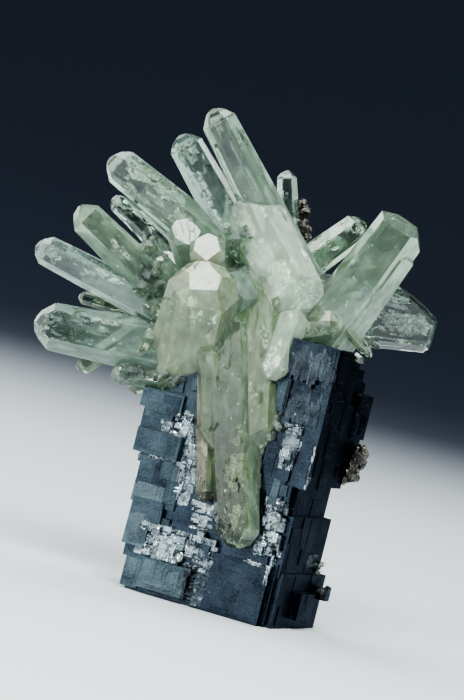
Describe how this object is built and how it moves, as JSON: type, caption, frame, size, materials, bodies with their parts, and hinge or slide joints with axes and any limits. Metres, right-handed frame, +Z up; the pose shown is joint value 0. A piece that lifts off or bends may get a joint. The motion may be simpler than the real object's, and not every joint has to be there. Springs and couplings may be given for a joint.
{
  "type": "calcite on galena mineral specimen",
  "caption": "Spray of clear to milky calcite prisms on a stepped block of galena, with small sulphide knots, standing on a flat base.",
  "frame": {"origin": "middle of the galena's flat base, on the surface that the specimen stands on", "axes": "+Z up the galena block, -Y out of its front cube face, +X out of its right cube face"},
  "size_m": [0.0727, 0.0549, 0.097],
  "materials": {
    "galena": "lead grey metallic cleavage faces, smooth to rough",
    "calcite": "clear pale green at the tips, milky at the core",
    "sulphide": "tarnished brown-grey metallic grains"
  },
  "bodies": {
    "root": {"galena_block": "galena", "calcite_spray": "calcite", "sulphide_knot_side": "sulphide", "sulphide_knot_top": "sulphide"}
  },
  "joints": []
}
